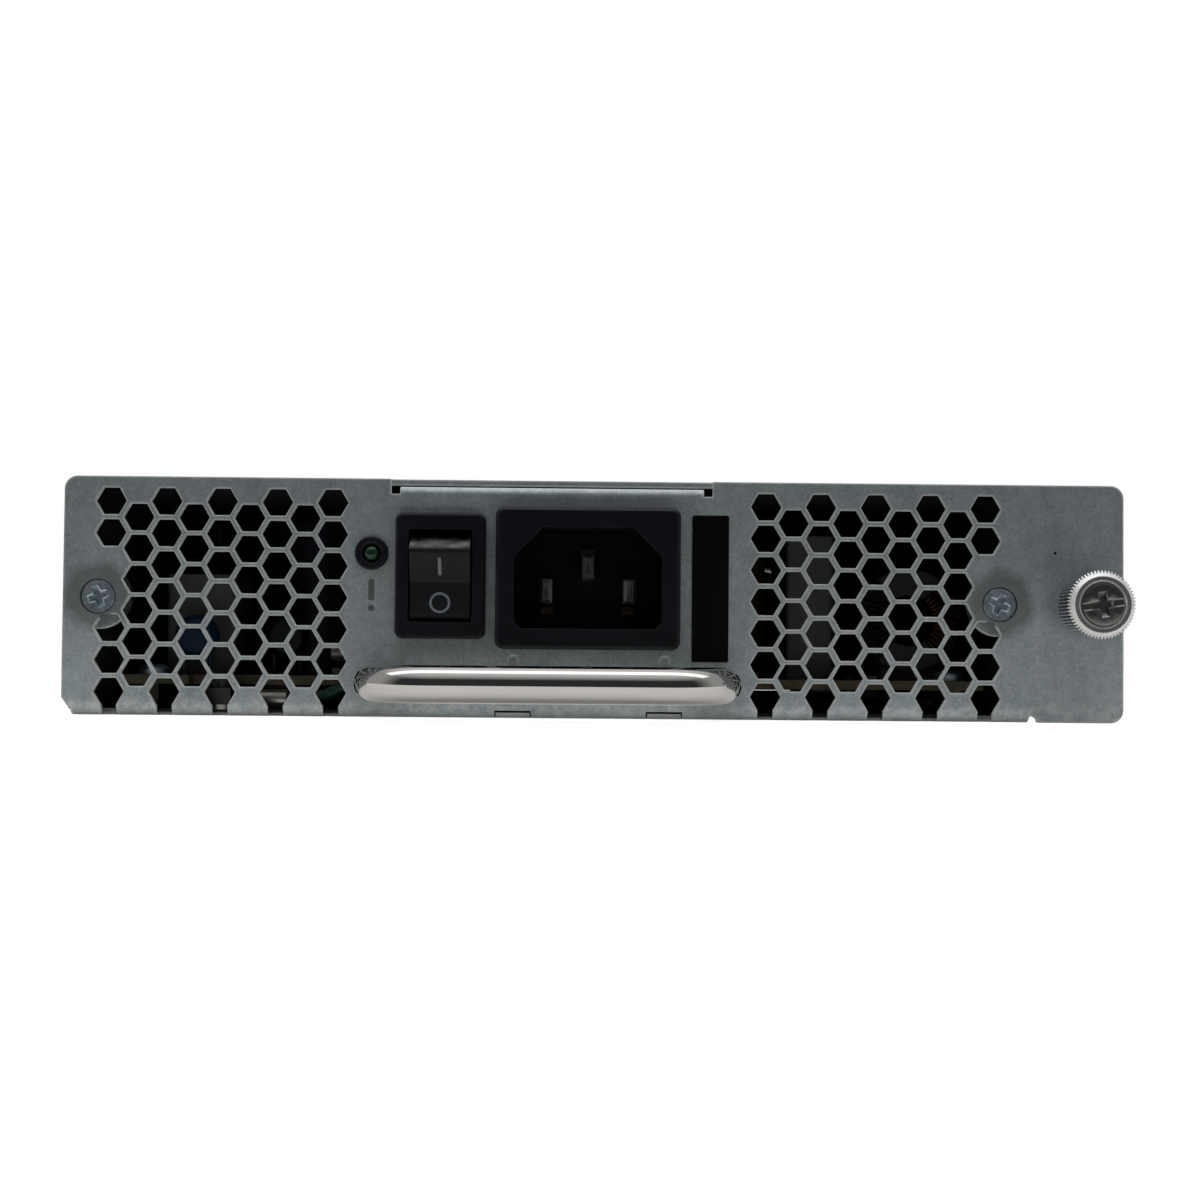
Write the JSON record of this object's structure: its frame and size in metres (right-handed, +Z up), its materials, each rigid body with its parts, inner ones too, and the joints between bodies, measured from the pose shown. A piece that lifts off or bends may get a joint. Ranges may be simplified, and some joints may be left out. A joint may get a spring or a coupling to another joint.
{
  "type": "hot swap server power supply",
  "caption": "Low rack power supply module with perforated front, mains inlet, rocker switch, bar handle, captive thumbscrew and rear fans.",
  "frame": {"origin": "underside of the base pan, at the middle of the body's width and length", "axes": "+Y from the front panel to the output connector, +Z up, +X to the mounting ear, on the right as seen from the front"},
  "size_m": [0.1771, 0.2765, 0.0398],
  "materials": {
    "galvanised_steel": "galvanised sheet with fine spangle",
    "zinc_screws": "bright zinc plated",
    "chromed_rod": "polished chrome plate",
    "black_plastic": "moulded black nylon",
    "rocker_plastic": "semi-gloss black",
    "tinned_contacts": "tinned brass",
    "green_lens": "tinted epoxy lens",
    "black_label": "bare black film",
    "knurled_aluminium": "machined, knurled",
    "dark_steel": "plain steel",
    "circuit_board": "laminate with solder mask",
    "standoff_brass": "turned",
    "insulator_film": "plain film",
    "grey_case": "moulded box",
    "blue_coating": "dipped coating",
    "dark_coating": "dipped coating",
    "fuse_glass": "clear tube with plated caps",
    "ferrite": "sintered",
    "copper_wire": "enamelled copper",
    "winding_tape": "polyester tape",
    "capacitor_sleeve": "shrink sleeve",
    "sink_aluminium": "black anodised",
    "package_epoxy": "moulded epoxy",
    "earth_insulation": "green and yellow insulation",
    "wire_insulation": "insulated stranded wire"
  },
  "bodies": {
    "case": {"base_pan": "galvanised_steel", "blank_label": "black_label", "board_screws": "zinc_screws", "boost_choke_coil": "winding_tape", "boost_choke_core": "ferrite", "bridge_rectifier": "package_epoxy", "bulk_capacitors": "capacitor_sleeve", "connector_housing": "black_plastic", "control_board": "circuit_board", "cover_screws": "zinc_screws", "earth_stud": "zinc_screws", "earth_terminal": "tinned_contacts", "earth_wire": "earth_insulation", "fan_frame_left": "black_plastic", "fan_frame_right": "black_plastic", "fan_screws": "zinc_screws", "film_capacitor": "grey_case", "filter_choke_core": "ferrite", "filter_choke_winding": "copper_wire", "front_screws": "zinc_screws", "fuse": "fuse_glass", "fuse_clips": "tinned_contacts", "handle": "chromed_rod", "handle_screws": "zinc_screws", "inlet_blades": "tinned_contacts", "inlet_housing": "black_plastic", "insulator_sheet": "insulator_film", "led_holder": "black_plastic", "led_lamp": "green_lens", "main_board": "circuit_board", "mains_wires": "wire_insulation", "output_capacitors": "capacitor_sleeve", "output_choke_core": "ferrite", "output_choke_winding": "copper_wire", "package_screws": "zinc_screws", "power_contacts": "tinned_contacts", "power_transistors": "package_epoxy", "primary_heat_sink": "sink_aluminium", "rear_panel": "galvanised_steel", "rectifier_diodes": "package_epoxy", "safety_capacitors": "blue_coating", "secondary_heat_sink": "sink_aluminium", "signal_contacts": "tinned_contacts", "signal_wires": "wire_insulation", "standoffs": "standoff_brass", "switch_housing": "black_plastic", "switch_terminals": "tinned_contacts", "switch_wires": "wire_insulation", "thermistor": "dark_coating", "thumbscrew_ferrule": "knurled_aluminium", "top_cover": "galvanised_steel", "transformer_coil": "winding_tape", "transformer_core": "ferrite", "x_capacitor": "grey_case"},
    "rocker": {"switch_rocker": "rocker_plastic"},
    "thumbscrew_travel": {"thumbscrew_spring": "dark_steel"},
    "thumbscrew_turn": {"thumbscrew_knob": "knurled_aluminium", "thumbscrew_screw": "dark_steel"},
    "fan_left": {"fan_rotor_left": "black_plastic"},
    "fan_right": {"fan_rotor_right": "black_plastic"}
  },
  "joints": [
    {"name": "switch_rock", "type": "hinge", "parent": "case", "child": "rocker", "pos_m": [-0.01865, -0.1216, 0.0236], "axis": [-1, 0, 0], "range_deg": [0, 26]},
    {"name": "thumbscrew_press", "type": "slide", "parent": "case", "child": "thumbscrew_travel", "axis": [0, 1, 0], "range_m": [0, 0.0026], "stiffness_N_per_m": 400, "springref_m": -0.002, "deforming": ["thumbscrew_spring"]},
    {"name": "thumbscrew_turn", "type": "hinge", "parent": "thumbscrew_travel", "child": "thumbscrew_turn", "pos_m": [0.089, -0.13, 0.0195], "axis": [0, 1, 0], "continuous": true},
    {"name": "fan_left_spin", "type": "hinge", "parent": "case", "child": "fan_left", "pos_m": [-0.058, 0.11, 0.0199], "axis": [0, 1, 0], "continuous": true},
    {"name": "fan_right_spin", "type": "hinge", "parent": "case", "child": "fan_right", "pos_m": [0.058, 0.11, 0.0199], "axis": [0, 1, 0], "continuous": true}
  ]
}
